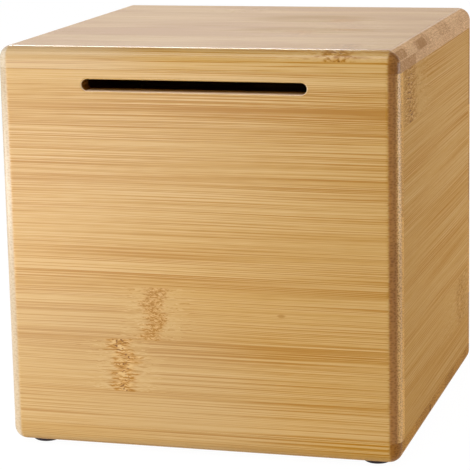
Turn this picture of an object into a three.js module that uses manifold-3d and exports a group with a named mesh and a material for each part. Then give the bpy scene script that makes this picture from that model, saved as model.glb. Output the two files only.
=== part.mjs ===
// A bamboo money box: a glued cube of bamboo boards with a banknote and coin slot in its front board,
// rubber feet, and a dovetailed hatch in its base that slides out at the back to empty it.
// Millimetres, +Z up, front towards -Y. The origin is on the table, under the middle of the box.

import * as THREE from "three";
import { RoundedBoxGeometry } from "three/addons/geometries/RoundedBoxGeometry.js";
import { mergeVertices } from "three/addons/utils/BufferGeometryUtils.js";
import Module from "manifold-3d";

const wasm = await Module();
wasm.setup();

// Driving dimensions of the cube
const CUBE = 150; // outside of the bamboo cube, each way
const BOARD = 8; // thickness of every board: two plies of flat bamboo strips
const EDGE_RADIUS = 5; // round-over on all twelve outer edges
const EDGE_SEGMENTS = 4; // facets in each half of a round-over

// The slot in the front board
const SLOT_LENGTH = 84;
const SLOT_HEIGHT = 4.2;
const SLOT_DROP = 13.7; // from the top of the cube to the slot's centre line
const SLOT_END_SEGMENTS = 10;

// The self-adhesive feet
const FOOT_RADIUS = 5.5;
const FOOT_HEIGHT = 1.8;
const FOOT_FLAT_RADIUS = 3.4; // flat that stands on the table
const FOOT_INSET = 10.5; // from the cube's sides to a foot's centre
const FOOT_SIDES = 32;
const FOOT_ARC_STEPS = 5;

// The hatch, a dovetailed plate in the lower part of the base board
const HATCH_THICKNESS = 4.6;
const HATCH_HALF_WIDTH = 39; // at its underside, the narrow face
const HATCH_FLARE = 2.4; // how much wider each dovetailed edge is at the upper face
const HATCH_FRONT = -48.7; // y of its front end; its back end is flush with the back of the cube
const HATCH_FIT = 0.3; // running gap round the plate
const OPENING_HALF_WIDTH = 35; // the hole through the base above the hatch
const OPENING_FRONT = -42;
const OPENING_BACK = 55;
const OPENING_CORNER = 6;
const OPENING_SEGMENTS = 4;
const SCOOP_RADIUS = 20; // round dish for a thumb, stretched sideways
const SCOOP_DEPTH = 1.8;
const SCOOP_STRETCH = 1.4;
const SCOOP_Y = 57;

// The blind dowels that locate the butt joints
const DOWEL_RADIUS = 2;
const DOWEL_IN_FACE = 5; // depth in the board that is bored through its face
const DOWEL_IN_EDGE = 13; // depth in the board that is bored through its edge
const DOWEL_CHAMFER = 0.5;
const DOWEL_FIT = 0.1; // glue gap round a dowel
const DOWEL_END_GAP = 0.3;
const DOWEL_SIDES = 12;
const WALL_DOWEL_X = 55; // in the top and bottom edges of the front and back boards
const SIDE_DOWEL_Y = 35; // in the top and bottom edges of the side boards
const CORNER_DOWEL_RISE = 36; // above and below mid-height, in the ends of the side boards

// Levels and faces worked out from those
const HALF = CUBE / 2;
const INNER = HALF - BOARD; // from the middle to an inner face
const MID_BOARD = HALF - BOARD / 2; // from the middle to a board's mid-thickness
const UNDERSIDE = FOOT_HEIGHT;
const BASE_TOP = UNDERSIDE + BOARD;
const LID_BOTTOM = UNDERSIDE + CUBE - BOARD;
const MID_HEIGHT = UNDERSIDE + HALF;
const SLOT_LEVEL = UNDERSIDE + CUBE - SLOT_DROP;
const OVERCUT = 5; // how far a cutter runs past the face that it cuts

const bamboo = new THREE.MeshStandardMaterial({ color: 0xd9b277, roughness: 0.45, metalness: 0 });
const beech = new THREE.MeshStandardMaterial({ color: 0xe0c294, roughness: 0.7, metalness: 0 });
const rubber = new THREE.MeshStandardMaterial({ color: 0x231d22, roughness: 0.6, metalness: 0 });

// Closed geometry as a solid that can be cut and joined
function solidOf(geometry) {
  const bare = geometry.clone();
  bare.deleteAttribute("normal");
  bare.deleteAttribute("uv");
  const merged = mergeVertices(bare, 1e-4);
  return new wasm.Manifold(
    new wasm.Mesh({
      numProp: 3,
      vertProperties: new Float32Array(merged.attributes.position.array),
      triVerts: new Uint32Array(merged.index.array),
    }),
  );
}

// A solid back as geometry
function geometryOf(solid) {
  const { numProp, numVert, vertProperties, triVerts } = solid.getMesh();
  const points = new Float32Array(numVert * 3);
  for (let i = 0; i < numVert; i++) {
    points.set(vertProperties.subarray(i * numProp, i * numProp + 3), i * 3);
  }
  const geometry = new THREE.BufferGeometry();
  geometry.setAttribute("position", new THREE.BufferAttribute(points, 3));
  geometry.setIndex(new THREE.BufferAttribute(triVerts, 1));
  geometry.computeVertexNormals();
  return geometry;
}

function blockBetween([x0, y0, z0], [x1, y1, z1]) {
  const block = new THREE.BoxGeometry(x1 - x0, y1 - y0, z1 - z0);
  return solidOf(block.translate((x0 + x1) / 2, (y0 + y1) / 2, (z0 + z1) / 2));
}

// A bar of any flat outline
function barOf(outline, depth, curveSegments) {
  return new THREE.ExtrudeGeometry(outline, { depth, bevelEnabled: false, curveSegments });
}

// An outline in X and Z, run along Y from yFront to yBack
function alongY(outline, yFront, yBack, curveSegments = 1) {
  const bar = barOf(outline, yBack - yFront, curveSegments);
  return solidOf(bar.rotateX(Math.PI / 2).translate(0, yBack, 0));
}

// An outline in X and Y, run up Z from zLow to zHigh
function alongZ(outline, zLow, zHigh, curveSegments = 1) {
  const bar = barOf(outline, zHigh - zLow, curveSegments);
  return solidOf(bar.translate(0, 0, zLow));
}

// The whole rounded cube, which every board is sliced from
const cube = solidOf(
  new RoundedBoxGeometry(CUBE, CUBE, CUBE, EDGE_SEGMENTS, EDGE_RADIUS).translate(0, 0, MID_HEIGHT),
);

function boardBetween(low, high) {
  return cube.intersect(blockBetween(low, high));
}

// Dowels: one for each entry, where "seam" is the point on the glued joint and "into" points into the board
// that is bored through its face.
const dowelPlaces = [];
for (const [side, sign] of [["left", -1], ["right", 1]]) {
  for (const [end, facing] of [["front", -1], ["back", 1]]) {
    for (const [level, up] of [["lower", -1], ["upper", 1]]) {
      const seamLevel = up > 0 ? LID_BOTTOM : BASE_TOP;
      const vertical = new THREE.Vector3(0, 0, up);
      dowelPlaces.push({
        name: `dowel_${end}_${level}_${side}`,
        seam: new THREE.Vector3(sign * WALL_DOWEL_X, facing * MID_BOARD, seamLevel),
        into: vertical,
      });
      dowelPlaces.push({
        name: `dowel_${side}_${level}_${end}`,
        seam: new THREE.Vector3(sign * MID_BOARD, facing * SIDE_DOWEL_Y, seamLevel),
        into: vertical,
      });
      dowelPlaces.push({
        name: `dowel_corner_${side}_${end}_${level}`,
        seam: new THREE.Vector3(sign * MID_BOARD, facing * INNER, MID_HEIGHT + up * CORNER_DOWEL_RISE),
        into: new THREE.Vector3(0, facing, 0),
      });
    }
  }
}

const LATHE_AXIS = new THREE.Vector3(0, 1, 0);

function turnTo(direction) {
  return new THREE.Quaternion().setFromUnitVectors(LATHE_AXIS, direction);
}

// The bores for all the dowels, as one cutter
function dowelBores() {
  const length = DOWEL_IN_FACE + DOWEL_IN_EDGE + 2 * DOWEL_END_GAP;
  const bores = dowelPlaces.map(({ seam, into }) => {
    const bore = new THREE.CylinderGeometry(
      DOWEL_RADIUS + DOWEL_FIT,
      DOWEL_RADIUS + DOWEL_FIT,
      length,
      DOWEL_SIDES,
    );
    const centre = seam.clone().addScaledVector(into, (DOWEL_IN_FACE - DOWEL_IN_EDGE) / 2);
    return solidOf(bore.applyQuaternion(turnTo(into)).translate(...centre.toArray()));
  });
  return bores.reduce((all, bore) => all.add(bore));
}

const bores = dowelBores();

function mesh(name, solid, material) {
  const made = new THREE.Mesh(geometryOf(solid), material);
  made.name = name;
  return made;
}

// Top board: covers all four walls
function topPanel() {
  const board = boardBetween([-CUBE, -CUBE, LID_BOTTOM], [CUBE, CUBE, LID_BOTTOM + CUBE]);
  return mesh("top_panel", board.subtract(bores), bamboo);
}

// The slot: a stadium through the front board
function slotCutter() {
  const round = SLOT_HEIGHT / 2;
  const straight = SLOT_LENGTH / 2 - round;
  const quarter = Math.PI / 2;
  const outline = new THREE.Shape();
  outline.absarc(straight, SLOT_LEVEL, round, -quarter, quarter, false);
  outline.absarc(-straight, SLOT_LEVEL, round, quarter, 3 * quarter, false);
  return alongY(outline, -HALF - OVERCUT, -INNER + OVERCUT, SLOT_END_SEGMENTS);
}

// Front and back boards: full width, between the base and the top
function frontPanel() {
  const board = boardBetween([-CUBE, -CUBE, BASE_TOP], [CUBE, -INNER, LID_BOTTOM]);
  return mesh("front_panel", board.subtract(bores).subtract(slotCutter()), bamboo);
}

function backPanel() {
  const board = boardBetween([-CUBE, INNER, BASE_TOP], [CUBE, CUBE, LID_BOTTOM]);
  return mesh("back_panel", board.subtract(bores), bamboo);
}

// Side boards: between the front and back boards
function sidePanel(name, sign) {
  const [near, far] = sign > 0 ? [INNER, CUBE] : [-CUBE, -INNER];
  const board = boardBetween([near, -INNER, BASE_TOP], [far, INNER, LID_BOTTOM]);
  return mesh(name, board.subtract(bores), bamboo);
}

// A bar with the hatch's dovetail section, grown by "gap" all round, from zLow to zHigh
function dovetailBar(gap, zLow, zHigh, yFront, yBack) {
  const halfAt = (z) => HATCH_HALF_WIDTH + gap + (HATCH_FLARE * (z - UNDERSIDE)) / HATCH_THICKNESS;
  const section = new THREE.Shape([
    new THREE.Vector2(-halfAt(zLow), zLow),
    new THREE.Vector2(halfAt(zLow), zLow),
    new THREE.Vector2(halfAt(zHigh), zHigh),
    new THREE.Vector2(-halfAt(zHigh), zHigh),
  ]);
  return alongY(section, yFront, yBack);
}

// The way out for the money, through the base above the hatch
function openingCutter() {
  const right = OPENING_HALF_WIDTH - OPENING_CORNER;
  const back = OPENING_BACK - OPENING_CORNER;
  const front = OPENING_FRONT + OPENING_CORNER;
  const quarter = Math.PI / 2;
  const outline = new THREE.Shape();
  outline.absarc(right, back, OPENING_CORNER, 0, quarter, false);
  outline.absarc(-right, back, OPENING_CORNER, quarter, 2 * quarter, false);
  outline.absarc(-right, front, OPENING_CORNER, 2 * quarter, 3 * quarter, false);
  outline.absarc(right, front, OPENING_CORNER, 3 * quarter, 4 * quarter, false);
  return alongZ(outline, UNDERSIDE, BASE_TOP + OVERCUT, OPENING_SEGMENTS);
}

// Base board, with the hatch's channel open at the back
function basePanel() {
  const channelTop = UNDERSIDE + HATCH_THICKNESS + HATCH_FIT;
  const channel = dovetailBar(HATCH_FIT, UNDERSIDE - 1, channelTop, HATCH_FRONT - HATCH_FIT, CUBE);
  const board = boardBetween([-CUBE, -CUBE, UNDERSIDE - CUBE], [CUBE, CUBE, BASE_TOP]);
  return mesh("base_panel", board.subtract(bores).subtract(channel).subtract(openingCutter()), bamboo);
}

// Hatch plate, with a dished thumb pull underneath
function baseHatch() {
  const plate = dovetailBar(0, UNDERSIDE, UNDERSIDE + HATCH_THICKNESS, HATCH_FRONT, CUBE).intersect(cube);
  const scoop = new THREE.SphereGeometry(SCOOP_RADIUS, 36, 36)
    .scale(SCOOP_STRETCH, 1, 1)
    .rotateX(Math.PI / 2)
    .translate(0, SCOOP_Y, UNDERSIDE + SCOOP_DEPTH - SCOOP_RADIUS);
  return mesh("base_hatch", plate.subtract(solidOf(scoop)), bamboo);
}

// A foot: a disc with a rounded shoulder, turned about its axis and flat where it stands
function foot(name, x, y) {
  const profile = [new THREE.Vector2(0, 0)];
  const shoulder = FOOT_RADIUS - FOOT_FLAT_RADIUS;
  for (let i = 0; i <= FOOT_ARC_STEPS; i++) {
    const turn = (i / FOOT_ARC_STEPS) * (Math.PI / 2);
    profile.push(
      new THREE.Vector2(
        FOOT_FLAT_RADIUS + shoulder * Math.sin(turn),
        FOOT_HEIGHT * (1 - Math.cos(turn)),
      ),
    );
  }
  profile.push(new THREE.Vector2(0, FOOT_HEIGHT));
  const turned = new THREE.LatheGeometry(profile, FOOT_SIDES).rotateX(Math.PI / 2);
  const made = mesh(name, solidOf(turned), rubber);
  made.position.set(x, y, 0);
  return made;
}

// A dowel pin with chamfered ends, turned about its axis
function dowel({ name, seam, into }) {
  const half = (DOWEL_IN_FACE + DOWEL_IN_EDGE) / 2;
  const pin = new THREE.LatheGeometry(
    [
      new THREE.Vector2(0, -half),
      new THREE.Vector2(DOWEL_RADIUS - DOWEL_CHAMFER, -half),
      new THREE.Vector2(DOWEL_RADIUS, -half + DOWEL_CHAMFER),
      new THREE.Vector2(DOWEL_RADIUS, half - DOWEL_CHAMFER),
      new THREE.Vector2(DOWEL_RADIUS - DOWEL_CHAMFER, half),
      new THREE.Vector2(0, half),
    ],
    DOWEL_SIDES,
  );
  const made = mesh(name, solidOf(pin), beech);
  made.quaternion.copy(turnTo(into));
  made.position.copy(seam).addScaledVector(into, (DOWEL_IN_FACE - DOWEL_IN_EDGE) / 2);
  return made;
}

const shell = new THREE.Group();
shell.add(
  topPanel(),
  frontPanel(),
  backPanel(),
  sidePanel("left_side_panel", -1),
  sidePanel("right_side_panel", 1),
  basePanel(),
);

const feet = new THREE.Group();
const footReach = HALF - FOOT_INSET;
for (const [end, facing] of [["front", -1], ["back", 1]]) {
  for (const [side, sign] of [["left", -1], ["right", 1]]) {
    feet.add(foot(`foot_${end}_${side}`, sign * footReach, facing * footReach));
  }
}

const dowels = new THREE.Group();
dowels.add(...dowelPlaces.map(dowel));

const moneyBox = new THREE.Group();
moneyBox.add(shell, baseHatch(), feet, dowels);

export default moneyBox;
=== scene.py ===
"""The looks of a bamboo money box: fine boards, feet and hatch over the CAD frame, with bamboo that is grown
strip by strip in the material. Metres, +Z up, front towards -Y."""

import math

import bmesh
import bpy
from mathutils import Matrix, Vector


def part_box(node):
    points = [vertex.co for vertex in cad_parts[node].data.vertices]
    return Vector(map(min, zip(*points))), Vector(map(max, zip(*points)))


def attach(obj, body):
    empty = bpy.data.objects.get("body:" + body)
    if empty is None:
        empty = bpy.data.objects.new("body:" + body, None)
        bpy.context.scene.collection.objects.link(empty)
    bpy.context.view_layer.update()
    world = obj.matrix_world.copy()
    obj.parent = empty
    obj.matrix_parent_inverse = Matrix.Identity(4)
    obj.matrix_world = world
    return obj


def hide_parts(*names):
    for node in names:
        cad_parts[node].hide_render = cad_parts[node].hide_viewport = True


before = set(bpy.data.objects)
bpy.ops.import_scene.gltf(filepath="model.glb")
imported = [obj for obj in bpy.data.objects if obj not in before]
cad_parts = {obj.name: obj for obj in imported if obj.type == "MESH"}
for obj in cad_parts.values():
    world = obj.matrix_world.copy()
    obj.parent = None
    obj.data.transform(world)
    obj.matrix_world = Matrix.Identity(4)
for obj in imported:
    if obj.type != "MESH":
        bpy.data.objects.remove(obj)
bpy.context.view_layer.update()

MM = 0.001
X, Y, Z = 0, 1, 2

# The box, in millimetres, as in the part's source
CUBE = 150.0
BOARD = 8.0
PLY = BOARD / 2
EDGE_RADIUS = 5.0
FOOT_HEIGHT = 1.8
HALF = CUBE / 2
INNER = HALF - BOARD
UNDERSIDE = FOOT_HEIGHT
BASE_TOP = UNDERSIDE + BOARD
LID_BOTTOM = UNDERSIDE + CUBE - BOARD
LID_TOP = UNDERSIDE + CUBE
MID_HEIGHT = UNDERSIDE + HALF
SEAM_BEVEL = 0.04  # eased arris on each board where it meets the next

SLOT_LENGTH = 84.0
SLOT_HEIGHT = 4.2
SLOT_DROP = 13.7  # from the top of the box to the middle of the slot
SLOT_LEVEL = LID_TOP - SLOT_DROP
SLOT_LIP = 0.55  # rounding of the slot's rim

HATCH_THICKNESS = 4.6
HATCH_HALF_WIDTH = 39.0
HATCH_FLARE = 2.4
HATCH_FRONT = -48.7
HATCH_FIT = 0.3
HATCH_BEVEL = 0.25  # eased arris of the hatch
OPENING_HALF_WIDTH = 35.0
OPENING_FRONT = -42.0
OPENING_BACK = 55.0
OPENING_CORNER = 6.0
SCOOP_RADIUS = 20.0
SCOOP_DEPTH = 1.8
SCOOP_STRETCH = 1.4
SCOOP_Y = 57.0

FOOT_RADIUS = 5.5
FOOT_FLAT_RADIUS = 3.4
FOOT_WALL = 0.35  # straight wall between a foot's shoulder and the base
FOOT_INSET = 10.5  # from the side of the box to the middle of a foot
FOOT_REACH = HALF - FOOT_INSET

DOWEL_RADIUS = 2.0
DOWEL_FIT = 0.1
DOWEL_END_GAP = 0.3

# How finely the round shapes are drawn
EDGE_SEGMENTS = 14
BEVEL_SEGMENTS = 2
SLOT_END_STEPS = 24
SLOT_LIP_STEPS = 6
OPENING_STEPS = 8
SCOOP_SEGMENTS = 96
BORE_SIDES = 24
FOOT_SIDES = 64
FOOT_SHOULDER_STEPS = 12

# How the shapes are cut and shaded
CUT_PAST = 2.0  # how far a cutter goes past the face that it cuts
ON_PLANE = 1e-5  # a point this near to a cutting plane is on it
WELD = 1e-4  # points nearer than this are joined after a cut
BOARD_ARRIS = math.radians(55)  # sharper edges of a board are eased
HATCH_ARRIS = math.radians(40)
CREASE = math.radians(32)  # sharper edges are shaded as creases


# Shapes


def arc(start, sweep, steps):
    """Angles in radians, from start through sweep, both in degrees."""
    return [math.radians(start + sweep * i / steps) for i in range(steps + 1)]


def bevel(bm, edges, width, segments):
    bmesh.ops.bevel(
        bm,
        geom=edges,
        offset=width,
        offset_type="OFFSET",
        segments=segments,
        profile=0.5,
        affect="EDGES",
        clamp_overlap=True,
    )


def rounded_cube():
    bm = bmesh.new()
    bmesh.ops.create_cube(bm, size=CUBE)
    bmesh.ops.translate(bm, verts=bm.verts, vec=(0, 0, MID_HEIGHT))
    bevel(bm, bm.edges[:], EDGE_RADIUS, EDGE_SEGMENTS)
    return bm


def slice_off(bm, point, normal):
    """Cuts away what lies on the normal's side of the plane, and closes the cut with one face."""
    cut = bmesh.ops.bisect_plane(
        bm,
        geom=bm.verts[:] + bm.edges[:] + bm.faces[:],
        dist=ON_PLANE,
        plane_co=point,
        plane_no=normal,
        clear_outer=True,
    )
    edges = [g for g in cut["geom_cut"] if isinstance(g, bmesh.types.BMEdge)]
    bmesh.ops.contextual_create(bm, geom=edges)
    bmesh.ops.recalc_face_normals(bm, faces=bm.faces[:])


def board_mesh(planes):
    """The part of the rounded cube that is left when each plane has cut off its side."""
    bm = rounded_cube()
    for point, normal in planes:
        slice_off(bm, point, normal)
    return bm


def prism(outlines):
    """A closed tube through loops of points, each loop given in order, with both ends capped."""
    bm = bmesh.new()
    loops = [[bm.verts.new(p) for p in outline] for outline in outlines]
    for a, b in zip(loops, loops[1:]):
        for i in range(len(a)):
            j = (i + 1) % len(a)
            bm.faces.new((a[i], a[j], b[j], b[i]))
    bm.faces.new(loops[0])
    bm.faces.new(loops[-1])
    bmesh.ops.recalc_face_normals(bm, faces=bm.faces[:])
    return bm


def mesh_object(name, bm):
    """The bmesh, in millimetres, as an object in metres."""
    bmesh.ops.scale(bm, vec=(MM, MM, MM), verts=bm.verts)
    mesh = bpy.data.meshes.new(name)
    bm.to_mesh(mesh)
    bm.free()
    obj = bpy.data.objects.new(name, mesh)
    bpy.context.scene.collection.objects.link(obj)
    return obj


def cut_away(bm, *cutters):
    """The bmesh less each cutter, as a new bmesh."""
    target = mesh_object("cut_target", bm)
    tools = []
    for cutter in cutters:
        tool = mesh_object("cut_tool", cutter)
        tools.append(tool)
        modifier = target.modifiers.new("cut", "BOOLEAN")
        modifier.operation = "DIFFERENCE"
        modifier.solver = "EXACT"
        modifier.object = tool
    graph = bpy.context.evaluated_depsgraph_get()
    made = bpy.data.meshes.new_from_object(target.evaluated_get(graph))
    out = bmesh.new()
    out.from_mesh(made)
    bmesh.ops.scale(out, vec=(1 / MM, 1 / MM, 1 / MM), verts=out.verts)
    bmesh.ops.remove_doubles(out, verts=out.verts, dist=WELD)
    for o in [target] + tools:
        data = o.data
        bpy.data.objects.remove(o)
        bpy.data.meshes.remove(data)
    bpy.data.meshes.remove(made)
    return out


def ease_edges(bm, width, angle):
    sharp = [e for e in bm.edges if len(e.link_faces) == 2 and e.calc_face_angle(0) > angle]
    bevel(bm, sharp, width, BEVEL_SEGMENTS)


def finish_piece(name, bm, material, body, node):
    obj = mesh_object(name, bm)
    mesh = obj.data
    mesh.polygons.foreach_set("use_smooth", [True] * len(mesh.polygons))
    mesh.set_sharp_from_angle(angle=CREASE)
    normals = obj.modifiers.new("flat_faces", "WEIGHTED_NORMAL")
    normals.mode = "FACE_AREA"
    normals.weight = 100
    normals.keep_sharp = True
    mesh.materials.append(material)
    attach(obj, body)
    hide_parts(node)


def slot_outline(y, grow):
    """The slot's round-ended outline at this y, grown by so much all round."""
    radius = SLOT_HEIGHT / 2
    reach = SLOT_LENGTH / 2 - radius
    points = []
    for centre, start in ((reach, -90), (-reach, 90)):
        for a in arc(start, 180, SLOT_END_STEPS):
            x = centre + (radius + grow) * math.cos(a)
            z = SLOT_LEVEL + (radius + grow) * math.sin(a)
            points.append((x, y, z))
    return points


def slot_cutter():
    """The slot, flared at both faces of the board by its rounded lip."""
    lip = [(SLOT_LIP * (1 - math.cos(a)), SLOT_LIP * (1 - math.sin(a))) for a in arc(0, 90, SLOT_LIP_STEPS)]
    sections = [
        (-HALF - CUT_PAST, SLOT_LIP),
        *((-HALF + inset, grow) for inset, grow in lip),
        *((-INNER - inset, grow) for inset, grow in reversed(lip)),
        (-INNER + CUT_PAST, SLOT_LIP),
    ]
    return prism([slot_outline(y, grow) for y, grow in sections])


def channel_cutter():
    """The dovetailed channel in the base, a little larger than the hatch that slides in it."""

    def half(z):
        return HATCH_HALF_WIDTH + HATCH_FIT + HATCH_FLARE * (z - UNDERSIDE) / HATCH_THICKNESS

    low, high = UNDERSIDE - CUT_PAST, UNDERSIDE + HATCH_THICKNESS + HATCH_FIT
    corners = [(-half(low), low), (half(low), low), (half(high), high), (-half(high), high)]
    ends = (HATCH_FRONT - HATCH_FIT, HALF + CUT_PAST)
    return prism([[(x, y, z) for x, z in corners] for y in ends])


def opening_cutter():
    """The hole in the base over the hatch, with rounded corners."""
    right = OPENING_HALF_WIDTH - OPENING_CORNER
    back, front = OPENING_BACK - OPENING_CORNER, OPENING_FRONT + OPENING_CORNER
    points = []
    for cx, cy, start in ((right, back, 0), (-right, back, 90), (-right, front, 180), (right, front, 270)):
        for a in arc(start, 90, OPENING_STEPS):
            points.append((cx + OPENING_CORNER * math.cos(a), cy + OPENING_CORNER * math.sin(a)))
    return prism([[(x, y, z) for x, y in points] for z in (UNDERSIDE, BASE_TOP + CUT_PAST)])


def scoop_cutter():
    """The finger scoop in the underside of the hatch."""
    bm = bmesh.new()
    bmesh.ops.create_uvsphere(bm, u_segments=SCOOP_SEGMENTS, v_segments=SCOOP_SEGMENTS, radius=SCOOP_RADIUS)
    bmesh.ops.scale(bm, vec=(SCOOP_STRETCH, 1, 1), verts=bm.verts)
    bmesh.ops.translate(bm, vec=(0, SCOOP_Y, UNDERSIDE + SCOOP_DEPTH - SCOOP_RADIUS), verts=bm.verts)
    return bm


def dowel_bores():
    """The bores of all the dowels, as one cutter, from the boxes of the dowel nodes."""
    bm = bmesh.new()
    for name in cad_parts:
        if not name.startswith("dowel_"):
            continue
        low, high = (Vector(corner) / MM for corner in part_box(name))
        size = high - low
        along = max(range(3), key=lambda axis: size[axis])
        direction = Vector([float(axis == along) for axis in range(3)])
        turn = Vector((0, 0, 1)).rotation_difference(direction)
        bmesh.ops.create_cone(
            bm,
            cap_ends=True,
            segments=BORE_SIDES,
            radius1=DOWEL_RADIUS + DOWEL_FIT,
            radius2=DOWEL_RADIUS + DOWEL_FIT,
            depth=size[along] + 2 * DOWEL_END_GAP,
            matrix=Matrix.Translation((low + high) / 2) @ turn.to_matrix().to_4x4(),
        )
    return bm


def foot_mesh(x, y):
    """A turned rubber bumper: flat tread, rounded shoulder, short wall against the base."""
    profile = [(0, 0.0)]
    for a in arc(0, 90, FOOT_SHOULDER_STEPS):
        radius = FOOT_FLAT_RADIUS + (FOOT_RADIUS - FOOT_FLAT_RADIUS) * math.sin(a)
        profile.append((radius, (FOOT_HEIGHT - FOOT_WALL) * (1 - math.cos(a))))
    profile += [(FOOT_RADIUS, FOOT_HEIGHT), (0, FOOT_HEIGHT)]
    around = arc(0, 360, FOOT_SIDES)[:-1]
    bm = bmesh.new()
    rings = []
    for r, z in profile:
        if r == 0:
            rings.append([bm.verts.new((x, y, z))])
            continue
        rings.append([bm.verts.new((x + r * math.cos(a), y + r * math.sin(a), z)) for a in around])
    for a, b in zip(rings, rings[1:]):
        for i in range(FOOT_SIDES):
            j = (i + 1) % FOOT_SIDES
            corners = [a[i % len(a)], a[j % len(a)], b[j % len(b)], b[i % len(b)]]
            bm.faces.new(list(dict.fromkeys(corners)))
    bmesh.ops.recalc_face_normals(bm, faces=bm.faces[:])
    return bm


# Short names for nodes


class Graph:
    """Makes the nodes of a tree. A value may be a number, a tuple or another node's output."""

    def __init__(self, tree):
        self.tree = tree

    def node(self, kind, inputs=(), **settings):
        made = self.tree.nodes.new(kind)
        for key, value in settings.items():
            setattr(made, key, value)
        for key, value in dict(inputs).items():
            self.put(made.inputs[key], value)
        return made

    def put(self, socket, value):
        if isinstance(value, bpy.types.NodeSocket):
            self.tree.links.new(value, socket)
        elif isinstance(value, tuple) and socket.type == "RGBA":
            socket.default_value = (*value, 1)
        else:
            socket.default_value = value

    def math(self, operation, a, b=0.0, c=0.0):
        return self.node("ShaderNodeMath", {0: a, 1: b, 2: c}, operation=operation).outputs[0]

    def add(self, a, b):
        return self.math("ADD", a, b)

    def sub(self, a, b):
        return self.math("SUBTRACT", a, b)

    def mul(self, a, b):
        return self.math("MULTIPLY", a, b)

    def mul_add(self, a, b, c):
        return self.math("MULTIPLY_ADD", a, b, c)

    def absolute(self, value):
        return self.math("ABSOLUTE", value)

    def vector(self, x, y, z):
        return self.node("ShaderNodeCombineXYZ", {0: x, 1: y, 2: z}).outputs[0]

    def carry(self, value, low, high, to_low, to_high, kind="LINEAR"):
        """Value carried from the range low to high over to another range, and held at that range's ends."""
        ranges = {"Value": value, "From Min": low, "From Max": high, "To Min": to_low, "To Max": to_high}
        made = self.node("ShaderNodeMapRange", ranges, interpolation_type=kind, clamp=True)
        return made.outputs["Result"]

    def step(self, value, zero_at, one_at):
        """A smooth step from nothing to one."""
        return self.carry(value, zero_at, one_at, 0.0, 1.0, "SMOOTHSTEP")

    def between(self, value, low, high, soft):
        """One from low to high, and nothing further out, with a smooth step at each end."""
        return self.mul(self.step(value, low - soft, low + soft), self.step(value, high + soft, high - soft))

    def swing(self, value, width):
        """A noise or chance, which is a half on average, as a swing of this width about nothing."""
        return self.mul(self.sub(value, 0.5), width)

    def noise(self, vector, detail=2.0, roughness=0.5, scale=1.0):
        inputs = {"Vector": vector, "Scale": scale, "Detail": detail, "Roughness": roughness}
        return self.node("ShaderNodeTexNoise", inputs).outputs["Fac"]

    def mix(self, factor, a, b, kind="RGBA"):
        made = self.node("ShaderNodeMix", {"Factor": factor, "A": a, "B": b}, data_type=kind)
        return made.outputs["Result"]

    def ramp(self, value, stops):
        made = self.node("ShaderNodeValToRGB", {"Fac": value})
        elements = made.color_ramp.elements
        for _ in range(len(stops) - 2):
            elements.new(0.5)
        for element, (place, colour) in zip(elements, stops):
            element.position = place
            element.color = (*colour, 1)
        return made.outputs["Color"]

    def bump(self, strength, distance, height):
        inputs = {"Strength": strength, "Distance": distance, "Height": height}
        return self.node("ShaderNodeBump", inputs).outputs["Normal"]

    def seen(self):
        """One for rays that show things, straight, mirrored or through something clear, else nothing."""
        path = self.node("ShaderNodeLightPath").outputs
        indirect = self.math("MAXIMUM", path["Is Glossy Ray"], path["Is Transmission Ray"])
        return self.math("MAXIMUM", path["Is Camera Ray"], indirect)


class MaterialGraph(Graph):
    """The nodes of a new material."""

    def __init__(self, name):
        self.material = bpy.data.materials.new(name)
        self.material.use_nodes = True
        super().__init__(self.material.node_tree)
        self.shader = self.tree.nodes["Principled BSDF"]

    def finish(self, **inputs):
        for key, value in inputs.items():
            self.put(self.shader.inputs[key.replace("_", " ")], value)
        return self.material


# Bamboo, with lengths in millimetres and linear colours

STRIP = 20.0  # width of a bamboo strip
PLY_STAGGER = 0.42  # how far, in strips, the joints of the inner ply are from those of the outer one
STRIP_SHIFT = 137.0  # how far along the noise the fibres of one strip may be from those of the next
SKIN = 0.01  # keeps the points of a board's two faces inside their plies
BROAD, FINE, HAIR, FLECK = 0.14, 0.14, 2.05, 0.18  # how strong each scale of the figure is
LINE_GAIN, LINE_LIFT, DARK_GAIN = 0.85, 0.03, 0.45  # all lines, and what is added to the dark ones
LINE_DENSITY = (1.3, 0.75)  # strength of the lines at the dense edge of a strip and at the other
MARK_CALM, MARK_LIFT = 0.4, 0.09  # how much weaker and paler the lines are around a joint mark
STRIP_TONES, EDGE_DROP = 0.12, 0.12  # how much the strips differ, and how much darker a dense edge is
BAND_SWAY, BAND_CORE = 1.2, 0.3  # how far a band wavers, and the share of its half width that is full
FIBRE_SWAY, MARK_SWELL = 1.8, 3.0  # how far the fibres waver, and how far a joint mark pushes them aside
SMUDGE_DRAW = 70.0  # how far a smudge's outline is drawn out along the grain
SMUDGE_REST = 0.35  # the share of a smudge that is left where it is broken
STAIN_EDGE, STAIN_DEPTH_EDGE, GLINT_EDGE = 0.4, 0.3, 4.0  # half the width of a soft edge
# The first three are painted light: a highlight on the slot's rim, light on its lower wall and shade on its
# inner end walls; the last is for the glue line
LIP_HIGHLIGHT_AMOUNT, SHELF_LIGHT_AMOUNT, WALL_SHADE_AMOUNT, GLUE_TINTING = 0.8, 0.85, 0.6, 0.35

# The lacquer: what each thing adds to the roughness, and the relief under it
POLISHED, END_GRAIN, SAWN, SMUDGED, PALE_HAIR = -0.14, -0.10, 0.70, 0.25, -0.2
BUMP_STRENGTH, BUMP_HEIGHT, DOT_RELIEF = 0.35, 0.04, 1.5

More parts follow.
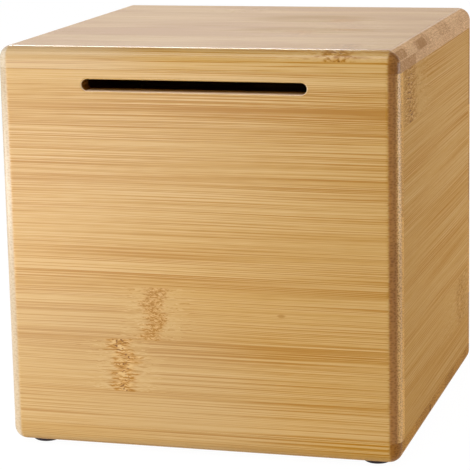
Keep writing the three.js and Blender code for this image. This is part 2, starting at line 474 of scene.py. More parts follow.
# Noises, in changes to the millimetre along and across the grain, and the layers that tell some apart
BROAD_RATE = (0.004, 0.26)
FINE_RATE = (0.004, 0.9)
HAIR_RATE = (0.007, 3.3)
FLECK_RATE = (0.10, 1.5)
RAGGED_RATE = (0.20, 1.1)
STREAK_RATE = (0.13, 1.15)
CLOUD_RATE = (0.012, 0.055)
BROKEN_RATE = (0.03, 0.25)
SWAY_RATE, BEND_RATE, DRAWN_RATE = 0.007, 0.13, 0.35
WAVER_LAYER, PORE_LAYER, CLOUD_LAYER, BROKEN_LAYER, DRAWN_LAYER, STREAK_LAYER = 2, 4, 6, 7, 8, 9
BUNDLE_RATE, BUNDLE_CHANCE = 1.25, 0.8  # the bundles of fibres that dot the end grain

# Steps, each with where it is nothing and where it is one: first of noise and chance, then of places
LEAN_STEP = (0.45, 0.55)
CLOUD_STEP = (0.34, 0.80)
BROKEN_STEP = (0.32, 0.68)
DOT_STEP = (0.12, 0.50)
DARK_STROKE_STEP = (0.49, 0.57)
PALE_STROKE_STEP = (0.46, 0.37)
STREAK_STEP = (0.54, 0.70)
PORE_STEP = (0.58, 0.66)
OVAL_STEP = (1.0, 0.15)  # in squared shares of an oval's reach
DARK_EDGE = (0.28, 0.0)  # in shares of a strip, as is the next
GLUE_LINE = (0.010, 0.002)
BOARD_END = (60.0, 66.0)  # from the middle along the grain
CLOUD_DEPTH = (2.0, 0.4)
SHELF_DEPTH = (4.0, 2.0)
SHELF_RISE = (5.0, 4.5)  # from the middle of the slot
LIP_DEPTH = (SLOT_LIP, 0.6 * SLOT_LIP)
WALL_DEPTH = (0.7 * SLOT_LIP, 1.1 * SLOT_LIP)

# Steps of how squarely a surface faces along the grain, across it, or to the front
END_TURN = (0.10, 0.34)
LIP_TURN = (0.15, 0.5)
FLAT_TURN = (0.66, 0.88)
LEFT_TURN = (0.02, -0.02)
FRONT_TURN = (-0.15, -0.45)
CORNER_TURN = (0.12, 0.45)
SHELF_TURN = (0.3, 0.7)
ROUND_FROM, ROUND_TO = (0.04, 0.12), (0.95, 0.75)
SAWN_SOFT = 0.02  # width of the step to a sawn end

# Joint marks. A pair says how far from the mark's middle a part of it is gone, and how far it is full
NO_MARK = -1000.0  # where a strip with no joint mark has it
SAME_COUNT = 0.1  # plies or strips whose numbers differ by less are the same
BEND_SPACING, SWAY_SPACING = 5.1, 3.7  # from one strip's line of noise to the next
MARK_WANDER = 12.0  # how far each of two noises moves the mark along the grain
MARK_CORE = (5.4, 1.8)
MARK_HALO = (17.0, 3.0)
MARK_STREAKS = (14.0, 4.0)
MARK_PORES = (1.8, 0.8)
PORED_FROM = (1.1, 1.3)  # strength of a mark with no pores, and of one with all its pores
SWIRLED_FROM = (1.42, 1.48)  # strength of a mark with fine strokes, and of one with swirls
STROKE_RATE = (0.60, 2.05)
WAVER_ACROSS = 0.50
PORE_RATE = (0.9, 1.3)
STROKE_LAYERS, STREAK_LAYERS = 0.5, 0.6  # changes to the millimetre in depth
MARK_TINTING, STREAK_TINTING = 0.50, 0.5

# What fine strokes have, and what swirls have
STROKE_WAVES = (2.2, 1.3)
STROKE_ALONG = (1.0, 0.42)
STROKE_ACROSS = (1.0, 0.78)
STROKE_SHIFT = (0.0, -0.04)
DARK_TINTING = (0.9, 0.7)
PALE_TINTING = (0.45, 0.47)

# Colours of the face
PALE = (0.585, 0.365, 0.130)
MIDDLE = (0.505, 0.281, 0.061)
DARK = (0.385, 0.165, 0.004)
FACE_STOPS = ((0.18, DARK), (0.5, MIDDLE), (0.80, PALE))
MARK = (0.34, 0.143, 0.002)
MARK_TINT = (0.45, 0.205, 0.022)
PORE = (0.21, 0.075, 0.001)
STROKE = (0.66, 0.44, 0.180)
# Painted highlight on the slot's rounded rim
LIP_HIGHLIGHT = (0.72, 0.53, 0.31)
# Painted sheen, laid on paler towards the left
SHEEN_WASH = (0.50, 0.375, 0.225)
# Painted shade for the shaded right side
RUDDY_SHADE = (0.50, 0.16, 0.0)
# Painted sheen for the top board's front edge
LID_EDGE_SHEEN = (0.72, 0.59, 0.45)
SMUDGE = (0.29, 0.16, 0.035)
# Painted light on the slot's lower wall
SHELF_LIGHT = (0.85, 0.64, 0.44)

# Colours of the end grain, each with its darkest and its palest tone
TONE_PLACES = (0.05, 0.95)
DOT_TONE, DOT_LIFT, BROAD_TONE = 0.65, -0.06, 0.4  # what the dots and the broad figure give the tone
CORNER_TONES = ((0.22, 0.074, 0.002), (0.36, 0.150, 0.020))
# Painted highlight: paler tones for the end where it turns to the side
EDGE_HIGHLIGHT_TONES = ((0.32, 0.133, 0.006), (0.80, 0.445, 0.126))
LID_TONES = ((0.345, 0.160, 0.045), (0.74, 0.465, 0.250))
BASE_TONES = ((0.24, 0.094, 0.010), (0.60, 0.300, 0.060))
# Painted glint: pale tones for the left end where it is turned to the front
GLINT_FRONT_TONES = ((0.42, 0.30, 0.174), (0.53, 0.41, 0.265))
GLINT_BASE_TONES = ((0.455, 0.335, 0.205), (0.57, 0.455, 0.31))
GLINT_LID_TONES = ((0.53, 0.415, 0.275), (0.66, 0.55, 0.405))


class Bamboo(MaterialGraph):
    """Flat-pressed bamboo, grown in the solid, each strip of each ply with its own fibres.

    grain, width and thickness are the board's axes. face is where its outer face lies along thickness, and
    inward is the way in from there. Strips are counted from origin along width. seed gives the board its own
    figure. mark_reach stretches the joint marks along the grain."""

    def __init__(self, name, grain, width, thickness, face, inward, origin, seed, mark_reach):
        super().__init__(name)
        self.seed = seed
        self.mark_reach = mark_reach
        coordinates = self.node("ShaderNodeTexCoord").outputs
        place = self.node("ShaderNodeSeparateXYZ", {0: coordinates["Object"]}).outputs
        normal = self.node("ShaderNodeSeparateXYZ", {0: coordinates["Normal"]}).outputs
        self.along = self.mul(place[grain], 1 / MM)
        self.across = self.mul(place[width], 1 / MM)
        self.depth = self.mul(self.sub(self.mul(place[thickness], 1 / MM), face), inward)
        self.to_end, self.to_side, self.to_front = normal[grain], normal[width], normal[Y]
        self.end_facing = self.absolute(self.to_end)
        self.side_facing = self.absolute(self.to_side)
        self.corner = self.step(self.side_facing, *CORNER_TURN)
        self.at_end = self.step(self.absolute(self.along), *BOARD_END)
        self.off_end = self.sub(1.0, self.at_end)
        self.count_strips(origin)

    def count_strips(self, origin):
        """Each point's ply and strip, how far across the strip it is, and what chance gives the strip."""
        inside = self.math("MINIMUM", self.math("MAXIMUM", self.depth, SKIN), BOARD - SKIN)
        self.ply = self.math("FLOOR", self.mul(inside, 1 / PLY))
        staggered = self.sub(self.sub(self.across, origin), self.mul(self.ply, PLY_STAGGER * STRIP))
        strips = self.mul(staggered, 1 / STRIP)
        self.strip = self.math("FLOOR", strips)
        self.within = self.math("FRACT", strips)
        number = self.vector(self.strip, self.ply, self.seed)
        chance = self.node("ShaderNodeTexWhiteNoise", {"Vector": number}, noise_dimensions="3D")
        chances = self.node("ShaderNodeSeparateColor", {0: chance.outputs["Color"]}).outputs
        self.shift = self.mul(chances[0], STRIP_SHIFT)
        self.end_chance, self.tone_chance = chances[1], chances[2]

    def oval(self, along, middle, reach):
        """One in the middle of an oval on the face, fading to nothing at its rim."""
        off = self.mul(self.sub(along, middle[0]), 1 / reach[0])
        aside = self.mul(self.sub(self.across, middle[1]), 1 / reach[1])
        return self.step(self.add(self.mul(off, off), self.mul(aside, aside)), *OVAL_STEP)

    def face_noise(self, rate, layer, detail=1.0):
        along, across = rate
        place = self.vector(self.mul(self.along, along), self.mul(self.across, across), layer)
        return self.noise(place, detail)

    def fibre_noise(self, rate, detail=1.0, roughness=0.5):
        along, across = rate
        shifted = self.mul_add(self.along, along, self.shift)
        place = self.vector(shifted, self.mul(self.moved, across), self.mul(self.depth, across))
        return self.noise(place, detail, roughness)

    def strip_line(self, spacing):
        """Where in the noise this strip has a line of its own."""
        return self.mul_add(self.strip, spacing, self.seed)

    def near_mark(self, fade):
        gone, full = fade
        return self.step(self.off_mark, gone * self.mark_reach, full * self.mark_reach)

    def place_marks(self, marks):
        """How far along the grain this strip's joint mark is, how strong it is, and its core and halo."""
        mark_place, self.strength = NO_MARK, 0.0
        outer_ply = self.math("COMPARE", self.ply, 0.0, SAME_COUNT)
        for mark_strip, (place, strength) in marks.items():
            this_strip = self.math("COMPARE", self.strip, float(mark_strip), SAME_COUNT)
            here = self.mul(outer_ply, this_strip)
            mark_place = self.mul_add(here, place - NO_MARK, mark_place)
            self.strength = self.mul_add(here, strength, self.strength)
        bend_place = self.vector(self.mul(self.across, BEND_RATE), self.strip_line(BEND_SPACING), 0.0)
        bend = self.noise(bend_place, detail=2.0)
        self.ragged = self.face_noise(RAGGED_RATE, self.seed)
        wander = self.add(self.swing(bend, MARK_WANDER), self.swing(self.ragged, MARK_WANDER))
        self.off_mark = self.absolute(self.add(self.sub(self.along, mark_place), wander))
        self.core = self.mul(self.near_mark(MARK_CORE), self.strength)
        self.halo = self.mul(self.near_mark(MARK_HALO), self.strength)

    def grow_fibres(self):
        """Lines along the grain and dots at the ends, which waver a little and swell at the joint marks."""
        sway_place = self.vector(self.mul(self.along, SWAY_RATE), self.strip_line(SWAY_SPACING), self.ply)
        self.sway = self.noise(sway_place, detail=1.0)
        swell = self.mul(self.halo, self.swing(self.ragged, MARK_SWELL))
        self.moved = self.add(self.across, self.mul_add(self.sway, FIBRE_SWAY, swell))
        self.broad = self.fibre_noise(BROAD_RATE)
        self.fine = self.fibre_noise(FINE_RATE)
        self.hair = self.fibre_noise(HAIR_RATE, roughness=0.6)
        self.fleck = self.fibre_noise(FLECK_RATE, detail=0.0)
        bundles = {
            "Vector": self.vector(self.moved, self.depth, 0.0),
            "Scale": BUNDLE_RATE,
            "Randomness": BUNDLE_CHANCE,
        }
        cells = self.node("ShaderNodeTexVoronoi", bundles, voronoi_dimensions="2D").outputs
        self.dot = self.step(cells["Distance"], *DOT_STEP)

    def lines(self, lean):
        """The dark and pale lines of the fibres, about nothing. The dark ones are the deeper."""
        plain = self.add(self.swing(self.fine, FINE), self.swing(self.hair, HAIR))
        evenly = self.mul_add(plain, LINE_GAIN, LINE_LIFT)
        deepened = self.mul_add(self.math("MINIMUM", plain, 0.0), DARK_GAIN, evenly)
        # Fibres are denser at one edge of the strip than at the other, and calmer at the joint marks
        dense = self.carry(lean, 0.0, 1.0, *LINE_DENSITY)
        calm = self.sub(1.0, self.mul(self.halo, MARK_CALM))
        return self.mul(deepened, self.mul(dense, calm))

    def face_colour(self, bands, deeper, clouds, contrast):
        """The colour of a board's face, from the tone of its fibres, bands, deeper stretches and clouds."""
        lean = self.absolute(self.sub(self.within, self.step(self.end_chance, *LEAN_STEP)))
        spread = self.add(self.swing(self.broad, BROAD), self.swing(self.fleck, FLECK))
        figure = self.add(self.lines(lean), spread)
        bent = self.add(self.swing(self.sway, BAND_SWAY), self.across)
        for place, reach, drop in bands:
            band = self.step(self.absolute(self.sub(bent, place)), reach, reach * BAND_CORE)
            figure = self.mul_add(band, -drop, figure)
        for middle, reach, gain, drop in deeper:
            stretch = self.oval(self.along, middle, reach)
            figure = self.mul_add(stretch, -drop, self.mul(figure, self.mul_add(stretch, gain, 1.0)))
        if clouds:
            drifting = self.face_noise(CLOUD_RATE, self.seed + CLOUD_LAYER, detail=2.0)
            cloud = self.mul(self.step(drifting, *CLOUD_STEP), self.step(self.depth, *CLOUD_DEPTH))
            figure = self.mul_add(cloud, -clouds, figure)
        edged = self.mul_add(self.step(lean, *DARK_EDGE), -EDGE_DROP, self.mul(self.halo, MARK_LIFT))
        own_tone = self.add(self.swing(self.tone_chance, STRIP_TONES), edged)
        return self.ramp(self.mul_add(self.add(figure, own_tone), contrast, 0.5), FACE_STOPS)

    def smudge(self, smudges):
        """How dull the face is from its smudges, whose outlines are drawn out along the grain and broken."""
        drawn_place = self.vector(self.mul(self.across, DRAWN_RATE), self.seed + DRAWN_LAYER, 0.0)
        drawn = self.swing(self.noise(drawn_place, detail=2.0), SMUDGE_DRAW)
        dulled = 0.0
        for middle, reach, amount in smudges:
            dulled = self.mul_add(self.oval(self.add(drawn, self.along), middle, reach), amount, dulled)
        broken = self.step(self.face_noise(BROKEN_RATE, self.seed + BROKEN_LAYER, detail=2.0), *BROKEN_STEP)
        return self.mul(dulled, self.mul_add(broken, 1 - SMUDGE_REST, SMUDGE_REST))

    def draw_marks(self, colour):
        """Joint marks: a brown tint, wavy dark and pale strokes, pores, and streaks out along the grain."""
        swirled = self.step(self.strength, *SWIRLED_FROM)

        def by_kind(pair):
            fine, swirl = pair
            return self.mul_add(swirled, swirl - fine, fine)

        along, across = STROKE_RATE[0] / self.mark_reach, STROKE_RATE[1]
        waver = self.face_noise((along, WAVER_ACROSS), self.seed + WAVER_LAYER)
        waved = self.mul_add(waver, by_kind(STROKE_WAVES), self.across)
        stroke_place = self.vector(
            self.mul(self.mul(self.along, along), by_kind(STROKE_ALONG)),
            self.mul(self.mul(waved, across), by_kind(STROKE_ACROSS)),
            self.mul_add(self.depth, STROKE_LAYERS, self.seed),
        )
        strokes = self.add(by_kind(STROKE_SHIFT), self.noise(stroke_place, detail=1.0, roughness=0.6))
        dark_stroke = self.mul(self.core, self.step(strokes, *DARK_STROKE_STEP))
        pale_stroke = self.mul(self.core, self.step(strokes, *PALE_STROKE_STEP))
        streak_layer = self.mul_add(self.depth, STREAK_LAYERS, self.seed + STREAK_LAYER)
        running = self.face_noise(STREAK_RATE, streak_layer)
        streaked = self.mul(self.halo, self.near_mark(MARK_STREAKS))
        streak = self.mul(streaked, self.step(running, *STREAK_STEP))
        pore_rate = (PORE_RATE[0] / self.mark_reach, PORE_RATE[1])
        dotted = self.face_noise(pore_rate, self.seed + PORE_LAYER, detail=0.0)
        pored = self.mul(self.near_mark(MARK_PORES), self.step(dotted, *PORE_STEP))
        pore = self.mul(pored, self.step(self.strength, *PORED_FROM))
        dark = self.add(self.mul(dark_stroke, by_kind(DARK_TINTING)), self.mul(streak, STREAK_TINTING))
        colour = self.mix(self.mul(self.core, MARK_TINTING), colour, MARK_TINT)
        colour = self.mix(self.mul(pale_stroke, by_kind(PALE_TINTING)), colour, STROKE)
        colour = self.mix(self.math("MINIMUM", dark, 1.0), colour, MARK)
        return self.mix(pore, colour, PORE)

    def draw_glue(self, colour):
        """A thin dark line of glue between one strip and the next."""
        from_joint = self.math("MINIMUM", self.within, self.sub(1.0, self.within))
        return self.mix(self.mul(self.step(from_joint, *GLUE_LINE), GLUE_TINTING), colour, DARK)

    def paint_shelf_light(self, colour):
        """The slot's lower wall, painted pale near the front as painted light falling on it."""
        near_slot = self.step(self.absolute(self.sub(self.across, SLOT_LEVEL)), *SHELF_RISE)
        upward = self.mul(self.step(self.to_side, *SHELF_TURN), self.step(self.depth, *SHELF_DEPTH))
        shelf = self.mul(self.mul(self.off_end, near_slot), upward)
        return self.mix(self.mul(shelf, SHELF_LIGHT_AMOUNT), colour, SHELF_LIGHT)

    def end_tone(self, end_spread, stains):
        """The tone of the end grain, dotted with the cut fibres, each strip's end with its own."""
        dots = self.mul_add(self.dot, DOT_TONE, DOT_LIFT)
        own = self.add(self.mul(self.end_chance, end_spread), self.swing(self.broad, BROAD_TONE))
        tone = self.add(dots, own)
        for (near, far), (shallow, deep), drop in stains:
            aside = self.between(self.across, near, far, STAIN_EDGE)
            under = self.between(self.depth, shallow, deep, STAIN_DEPTH_EDGE)
            tone = self.mul_add(self.mul(aside, under), -drop, tone)
        return tone

    def end_colour(self, tone, round_tones, flat_tones):
        """The end grain's colour: at the start of the rounded edge, beyond it, where paler flat tones are a
        painted highlight, and at the board's corners.
        """
        flat = self.mul(self.at_end, self.step(self.end_facing, *FLAT_TURN))
        colour = self.mix(flat, self.end_ramp(tone, round_tones), self.end_ramp(tone, flat_tones))
        return self.mix(self.corner, colour, self.end_ramp(tone, CORNER_TONES))

    def end_ramp(self, tone, tones):
        return self.ramp(tone, tuple(zip(TONE_PLACES, tones)))

    def pale(self, low, high):
        """One where a glint is painted on the left end, where it is turned to the front, from low to high
        across the grain.
        """
        turned = self.mul(self.step(self.to_end, *LEFT_TURN), self.step(self.to_front, *FRONT_TURN))
        return self.mul(self.mul(self.at_end, turned), self.between(self.across, low, high, GLINT_EDGE))


def bamboo_material(
    name, grain, width, thickness, face, inward, origin, seed, marks, mark_reach=1.0,
    bands=(), deeper=(), clouds=0.0, contrast=1.0, patches=(), smudges=(), slotted=False,
    round_tones=CORNER_TONES, flat_tones=EDGE_HIGHLIGHT_TONES, end_spread=0.40, stains=(), glint_end=None,
    specular=0.4, rough=0.34, sawn_from=0.995,
):
    """One board's bamboo. A middle and a reach are each along and across the grain, and drops are in tone.

    marks has {strip: (place along the grain, strength)}, for the rings where the cane had a joint
    bands has (place across the grain, half width, drop), for darker lines all along the board
    deeper has (middle, reach, gain, drop), for stretches with deeper lines
    clouds is how dark the clouds on the face are, and contrast is that of all the face's figure
    patches has (middle, reach, amount, tint), and smudges has (middle, reach, amount)
    slotted says that the board has the slot, whose lower wall is painted pale as painted light
    round_tones and flat_tones are for the start of the rounded edge, and for the rest of the end, where the
    default paler tones are a painted highlight on the edge turned to the side end_spread is how much the ends
    of the strips differ stains has ((from, to across the grain), (from, to in depth), drop), for dark spots
    in the end grain glint_end has (from, to across the grain, tones), for a painted glint on the left end
    where it is turned to the front specular and rough are the lacquer's
    sawn_from is how squarely a surface faces along the grain where it gets as dull as a sawn end
    """
    g = Bamboo(name, grain, width, thickness, face, inward, origin, seed, mark_reach)
    g.place_marks(marks)
    g.grow_fibres()

    # The face, with the slot's rounded lip, which is away from the board's ends and is tinted pale as a
    # painted highlight
    colour = g.face_colour(bands, deeper, clouds, contrast)
    for middle, reach, amount, tint in patches:
        colour = g.mix(g.mul(g.oval(g.along, middle, reach), amount), colour, tint)
    dulled = 0.0
    if smudges:
        dulled = g.smudge(smudges)
        colour = g.mix(dulled, colour, SMUDGE)
    colour = g.draw_glue(g.draw_marks(colour))
    # Painted highlight: the slot's rounded rim is tinted pale, as if it caught the light
    lip = g.mul(g.off_end, g.mul(g.step(g.depth, *LIP_DEPTH), g.step(g.end_facing, *LIP_TURN)))
    colour = g.mix(g.mul(lip, LIP_HIGHLIGHT_AMOUNT), colour, LIP_HIGHLIGHT)
    # Painted light: the slot's lower wall is made pale near the front
    if slotted:
        colour = g.paint_shelf_light(colour)

    # The ends, darker as end grain, and the walls inside the slot, whose end walls are darkened further as
    # painted shade in the recess
    tone = g.end_tone(end_spread, stains)
    end_colour = g.end_colour(tone, round_tones, flat_tones)
    off_glint = 1.0
    # Painted glint: the left end, where it is turned to the front, is painted pale
    if glint_end:
        low, high, glint_tones = glint_end
        pale = g.pale(low, high)
        end_colour = g.mix(pale, end_colour, g.end_ramp(tone, glint_tones))
        off_glint = g.sub(1.0, pale)
    inside = g.mul(g.off_end, g.step(g.depth, *WALL_DEPTH))
    on_end = g.mul(g.step(g.end_facing, *END_TURN), g.math("MAXIMUM", g.at_end, inside))
    colour = g.mix(on_end, colour, g.mix(g.mul(inside, WALL_SHADE_AMOUNT), end_colour, PORE))

    # The rounded edges are polished; the flat sawn ends are duller
    squarely = g.mul(g.step(g.end_facing, sawn_from - SAWN_SOFT, sawn_from), off_glint)
    sawn = g.mul(squarely, g.sub(1.0, g.corner))
    rounded = g.mul(g.step(g.side_facing, *ROUND_FROM), g.step(g.side_facing, *ROUND_TO))
    polish = g.mul_add(rounded, POLISHED, g.mul(lip, POLISHED))
    ends = g.mul_add(on_end, END_GRAIN, g.mul_add(sawn, SAWN, polish))
    strands = g.mul(g.sub(g.hair, 0.5), g.sub(1.0, rounded))
    roughness = g.add(g.mul_add(dulled, SMUDGED, g.mul_add(strands, PALE_HAIR, rough)), ends)
    relief = g.mix(on_end, strands, g.mul(g.dot, DOT_RELIEF), kind="FLOAT")
    return g.finish(
        Base_Color=colour,
        Roughness=roughness,
        Normal=g.bump(BUMP_STRENGTH, BUMP_HEIGHT * MM, relief),
        Specular_IOR_Level=specular,
    )


# The boards' bamboo

STRIP_BASE = LID_BOTTOM - 7 * STRIP  # gives the walls a strip joint at the seam under the top board
FRONT_EDGE = (-90.0, -66.0)  # from, to across the grain of the top and base boards
FRONT_BANDS = (  # height above the middle, half width, drop in tone
    (53.4, 2.6, 0.19), (33.4, 1.4, 0.10), (28.6, 1.2, 0.14), (25.6, 0.9, 0.10), (0.3, 0.9, 0.11),
    (-8.1, 0.9, 0.10), (-11.5, 1.5, 0.15), (-34.1, 1.0, 0.13), (-37.1, 0.9, 0.12), (-50.0, 0.9, 0.10),
    # The broad paler band over the lower part, (-60.0, 26.0, -0.09), is painted sheen
    (-53.3, 1.5, 0.14), (64.5, 3.2, -0.16), (-60.0, 26.0, -0.09),
)

bamboo_front = bamboo_material(
    "bamboo_front",
    grain=X, width=Z, thickness=Y, face=-HALF, inward=1, origin=STRIP_BASE, seed=1454.0,
    marks={1: (-29.0, 1.5), 2: (-17.0, 1.1)},
    bands=[(MID_HEIGHT + place, reach, drop) for place, reach, drop in FRONT_BANDS],
    deeper=(
        ((60.0, MID_HEIGHT + 56.0), (95.0, 12.0), 0.8, 0.07),
        ((60.0, MID_HEIGHT + 52.5), (85.0, 5.0), 0.0, 0.16),
    ),
    patches=(
        # Painted sheen: a paler wash over the lower left of the face
        ((-50.0, 20.0), (95.0, 52.0), 0.23, SHEEN_WASH),
        ((31.5, MID_HEIGHT - 21.4), (1.9, 0.8), 0.60, MARK),
    ),
    glint_end=(0.0, LID_TOP, GLINT_FRONT_TONES), slotted=True, rough=0.31,
)
bamboo_back = bamboo_material(
    "bamboo_back",
    grain=X, width=Z, thickness=Y, face=HALF, inward=-1, origin=STRIP_BASE, seed=11.0,
    marks={0: (38.0, 1.0), 3: (-44.0, 0.9), 5: (12.0, 1.0)},
    flat_tones=BASE_TONES,
)
bamboo_top = bamboo_material(
    "bamboo_top",
    grain=X, width=Y, thickness=Z, face=LID_TOP, inward=-1, origin=-HALF, seed=3015.0,
    marks={0: (53.0, 1.3), 2: (26.0, 0.9), 3: (42.0, 1.0), 4: (34.0, 1.0), 6: (-12.0, 0.8)}, mark_reach=1.5,
    bands=((-HALF, 5.0, -0.12),), clouds=0.60, contrast=1.10,
    # Painted sheen: the left of the top board's front edge is paler
    patches=(((-80.0, -HALF), (75.0, 6.0), 0.25, LID_EDGE_SHEEN),),
    smudges=(
        ((20.0, 25.0), (30.0, 18.0), 0.62),
        ((26.0, -15.0), (32.0, 14.0), 0.62),
        ((-42.0, -42.0), (34.0, 10.0), 0.3),
    ),
    round_tones=LID_TONES, flat_tones=LID_TONES, end_spread=0.30,
    stains=(((-40, -22), (1.0, 4.0), 0.42), ((-73, -58), (0.8, 3.6), 0.45), ((-76, -44), (4.2, 9.0), 0.30)),
    glint_end=(*FRONT_EDGE, GLINT_LID_TONES), specular=0.24, rough=0.31, sawn_from=0.30,
)
bamboo_base = bamboo_material(
    "bamboo_base",
    grain=X, width=Y, thickness=Z, face=UNDERSIDE, inward=1, origin=-HALF, seed=17.0,
    marks={1: (-20.0, 1.0), 5: (55.0, 0.9)},
    # Painted sheen: a paler wash along the left of the front edge
    patches=(((-50.0, -HALF), (110.0, 14.0), 0.28, SHEEN_WASH),),
    round_tones=BASE_TONES, flat_tones=BASE_TONES, end_spread=0.25,
    stains=(((-19.0, -16.5), (1.0, 6.5), 0.9),),
    glint_end=(*FRONT_EDGE, GLINT_BASE_TONES), specular=0.22, rough=0.70,
)
bamboo_right = bamboo_material(
    "bamboo_right",
    grain=Y, width=Z, thickness=X, face=HALF, inward=-1, origin=STRIP_BASE, seed=23.0,
    marks={6: (-55.0, 1.35), 1: (52.0, 0.8)}, mark_reach=3.0, contrast=0.75,
    # Painted shade: the whole board is tinted redder and deeper, for its shaded side
    patches=(((0.0, MID_HEIGHT), (400.0, 400.0), 0.12, RUDDY_SHADE),),
    specular=0.12, rough=0.70,
)
bamboo_left = bamboo_material(
    "bamboo_left",
    grain=Y, width=Z, thickness=X, face=-HALF, inward=1, origin=STRIP_BASE, seed=29.0,
    marks={1: (20.0, 1.0), 4: (-35.0, 1.0)}, contrast=0.75,
    specular=0.22, rough=0.70,
)
bamboo_hatch = bamboo_material(
    "bamboo_hatch",
    grain=Y, width=X, thickness=Z, face=UNDERSIDE, inward=1, origin=-50.0, seed=31.0,
    marks={1: (10.0, 1.0), 3: (-30.0, 0.9)},
    specular=0.22, rough=0.70,
)


# Rubber, beech and floor


def rubber_material():
    g = MaterialGraph("rubber")
    place = g.node("ShaderNodeTexCoord").outputs["Object"]
    grain = g.noise(place, detail=3.0, scale=2600.0)
    bloom = g.noise(place, detail=2.0, scale=420.0)
    return g.finish(
        Base_Color=g.ramp(bloom, ((0.3, (0.014, 0.009, 0.011)), (0.75, (0.036, 0.025, 0.030)))),
        Roughness=g.carry(grain, 0.2, 0.8, 0.45, 0.65),
        Normal=g.bump(0.4, 0.05 * MM, grain),
        Specular_IOR_Level=0.15,
    )


def beech_material():
    g = MaterialGraph("beech")
    place = g.node("ShaderNodeTexCoord").outputs["Object"]
    flecks = g.noise(place, detail=3.0, scale=1800.0)
    return g.finish(
        Base_Color=g.ramp(flecks, ((0.3, (0.50, 0.33, 0.17)), (0.7, (0.68, 0.48, 0.28)))),
        Roughness=g.carry(flecks, 0.2, 0.8, 0.6, 0.75),
    )


WHITE = (1.0, 1.0, 1.0)
FLOOR_GLOW = 0.95  # share of the floor that is glow where it is seen
GLOW_STRENGTH = 1.03
WORLD_FILL = 0.30  # what the surroundings give the object; the camera and reflections see white
FLOOR_REACH = 6000.0  # half the width of the floor, in millimetres


def floor_material():
    """Pale floor that shows white to the camera and in reflections, and keeps the box's soft shadow."""
    g = MaterialGraph("floor")
    mottle = g.noise(g.node("ShaderNodeTexCoord").outputs["Object"], detail=2.0, scale=3.0)
    colour = g.ramp(mottle, ((0.3, (0.84, 0.84, 0.84)), (0.7, (0.88, 0.88, 0.88))))
    g.finish(Base_Color=colour, Roughness=0.9)
    glow = g.node("ShaderNodeEmission", {"Color": WHITE, "Strength": GLOW_STRENGTH}).outputs[0]
    glowing = {0: g.mul(g.seen(), FLOOR_GLOW), 1: g.shader.outputs[0], 2: glow}
    from_above = g.node("ShaderNodeMixShader", glowing).outputs[0]
    below = g.node("ShaderNodeNewGeometry").outputs["Backfacing"]
    clear = g.node("ShaderNodeBsdfTransparent").outputs[0]
    one_sided = g.node("ShaderNodeMixShader", {0: below, 1: from_above, 2: clear}).outputs[0]
    g.put(g.tree.nodes["Material Output"].inputs["Surface"], one_sided)
    return g.material


# Pieces

UNDER_LID = ((0, 0, LID_BOTTOM), (0, 0, 1))
ON_BASE = ((0, 0, BASE_TOP), (0, 0, -1))


def make_board(name, node, material, planes, first_cuts=(), last_cuts=()):
    """A board of the box. Its arrises are eased between the first cuts and the last ones, with the bores."""
    bm = board_mesh(planes)
    if first_cuts:
        bm = cut_away(bm, *first_cuts)
    ease_edges(bm, SEAM_BEVEL, BOARD_ARRIS)
    bm = cut_away(bm, *last_cuts, dowel_bores())
    finish_piece(name, bm, material, "box", node)


def make_hatch():
    """The plate that slides in the base, with dovetailed sides and a finger scoop."""
    slope = Vector((HATCH_THICKNESS, 0, -HATCH_FLARE)).normalized()
    bm = board_mesh([
        ((0, 0, UNDERSIDE + HATCH_THICKNESS), (0, 0, 1)),
        ((0, HATCH_FRONT, 0), (0, -1, 0)),
        ((HATCH_HALF_WIDTH, 0, UNDERSIDE), slope),
        ((-HATCH_HALF_WIDTH, 0, UNDERSIDE), (-slope.x, 0, slope.z)),
    ])
    bm = cut_away(bm, scoop_cutter())
    ease_edges(bm, HATCH_BEVEL, HATCH_ARRIS)
    finish_piece("hatch_plate", bm, bamboo_hatch, "hatch", "base_hatch")


make_board("top_board", "top_panel", bamboo_top, [((0, 0, LID_BOTTOM), (0, 0, -1))])
make_board(
    "front_board", "front_panel", bamboo_front,
    [((0, -INNER, 0), (0, 1, 0)), UNDER_LID, ON_BASE],
    last_cuts=[slot_cutter()],
)
make_board("back_board", "back_panel", bamboo_back, [((0, INNER, 0), (0, -1, 0)), UNDER_LID, ON_BASE])
for side, sign, bamboo in (("left", -1, bamboo_left), ("right", 1, bamboo_right)):
    make_board(f"{side}_board", f"{side}_side_panel", bamboo, [
        ((sign * INNER, 0, 0), (-sign, 0, 0)),
        ((0, -INNER, 0), (0, -1, 0)),
        ((0, INNER, 0), (0, 1, 0)),
        UNDER_LID,
        ON_BASE,
    ])
make_board(
    "base_board", "base_panel", bamboo_base,
    [((0, 0, BASE_TOP), (0, 0, 1))],
    first_cuts=[channel_cutter(), opening_cutter()],
)
make_hatch()

rubber = rubber_material()
for end, way in (("front", -1), ("back", 1)):
    for side, sign in (("left", -1), ("right", 1)):
        foot = foot_mesh(sign * FOOT_REACH, way * FOOT_REACH)
        finish_piece(f"bumper_{end}_{side}", foot, rubber, "box", f"foot_{end}_{side}")

beech = beech_material()
for name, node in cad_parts.items():
    if name.startswith("dowel_"):
        node.data.materials.clear()
        node.data.materials.append(beech)


# Stage, light and camera


def softbox(name, place, target, size, brightness):
    """A plain white panel, out of the camera's sight. Brightness is its own radiance."""
    data = bpy.data.lights.new(name, "AREA")
    data.shape = "RECTANGLE"
    data.size, data.size_y = size
    data.energy = brightness * math.pi * size[0] * size[1]
    lamp = bpy.data.objects.new(name, data)
    bpy.context.scene.collection.objects.link(lamp)
    lamp.location = place
    lamp.rotation_mode = "QUATERNION"
    lamp.rotation_quaternion = (Vector(target) - Vector(place)).to_track_quat("-Z", "Y")
    lamp.visible_camera = False


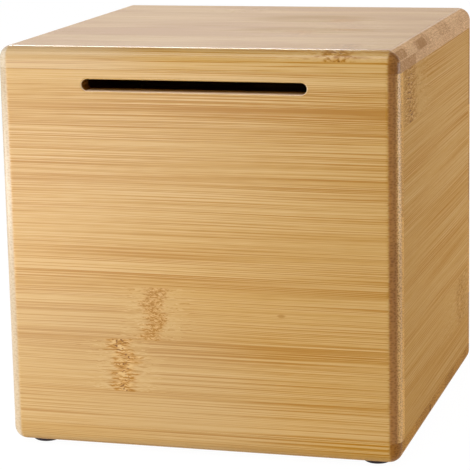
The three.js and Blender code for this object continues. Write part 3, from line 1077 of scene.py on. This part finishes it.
def light_world():
    """White surroundings, which light the box less than they show."""
    world = bpy.data.worlds.new("studio")
    bpy.context.scene.world = world
    world.use_nodes = True
    g = Graph(world.node_tree)
    background = g.tree.nodes["Background"].inputs
    g.put(background["Color"], WHITE)
    g.put(background["Strength"], g.carry(g.seen(), 0.0, 1.0, WORLD_FILL, 1.0))


floor_bm = bmesh.new()
bmesh.ops.create_grid(floor_bm, x_segments=1, y_segments=1, size=FLOOR_REACH)
floor = mesh_object("floor", floor_bm)
floor.data.materials.append(floor_material())

light_world()
# Each panel with its place, its target, its size and its brightness
softbox("left_low", (-0.16, -0.24, 0.035), (-0.06, -0.075, 0.04), (0.14, 0.07), 2.1)
softbox("left_strip", (-0.35, -0.55, 0.03), (-0.05, -0.075, 0.05), (0.5, 0.05), 15.5)
softbox("left_rim", (-0.36, -0.16, 0.045), (-0.073, -0.073, 0.08), (0.34, 0.064), 5.5)
softbox("high_front", (-0.25, -1.0, 1.6), (0, 0, 0.08), (0.9, 0.9), 5.5)
softbox("right_strip", (0.39, 0.075, 0.09), (0.073, -0.07, 0.08), (0.17, 0.16), 3.1)
softbox("top_strip", (-0.32, 0.60, 0.60), (0, -0.07, 0.15), (0.40, 0.10), 16.0)
softbox("overhead", (0.0, 0.1, 1.3), (0, 0, 0.15), (0.6, 0.6), 0.7)
softbox("back_fill", (0.55, 1.5, 0.40), (0, 0, 0.08), (0.8, 0.5), 5.0)

# The photograph's camera, fitted to the box's outline: angles in radians, distances in millimetres
AZIMUTH, ELEVATION, ROLL = 0.28159, 0.20905, -0.02082
DISTANCE, ASIDE, ABOVE = 836.28, -6.647, -8.019
FOCAL_PIXELS, IMAGE_PIXELS, SENSOR = 2112.55, 470, 36.0

away = Vector((
    math.sin(AZIMUTH) * math.cos(ELEVATION),
    -math.cos(AZIMUTH) * math.cos(ELEVATION),
    math.sin(ELEVATION),
))
level_right = (-away).cross(Vector((0, 0, 1))).normalized()
level_up = level_right.cross(-away)
right = math.cos(ROLL) * level_right + math.sin(ROLL) * level_up
up = -math.sin(ROLL) * level_right + math.cos(ROLL) * level_up
place = away * DISTANCE + level_right * ASIDE + level_up * ABOVE + Vector((0, 0, MID_HEIGHT))

camera_data = bpy.data.cameras.new("camera")
camera_data.sensor_width = SENSOR
camera_data.lens = FOCAL_PIXELS * SENSOR / IMAGE_PIXELS
camera_data.clip_start, camera_data.clip_end = 0.01, 50
camera = bpy.data.objects.new("camera", camera_data)
bpy.context.scene.collection.objects.link(camera)
camera.matrix_world = Matrix((
    (right.x, up.x, away.x, place.x * MM),
    (right.y, up.y, away.y, place.y * MM),
    (right.z, up.z, away.z, place.z * MM),
    (0, 0, 0, 1),
))
bpy.context.scene.camera = camera
bpy.context.scene.view_settings.view_transform = "Standard"

bpy.context.view_layer.update()
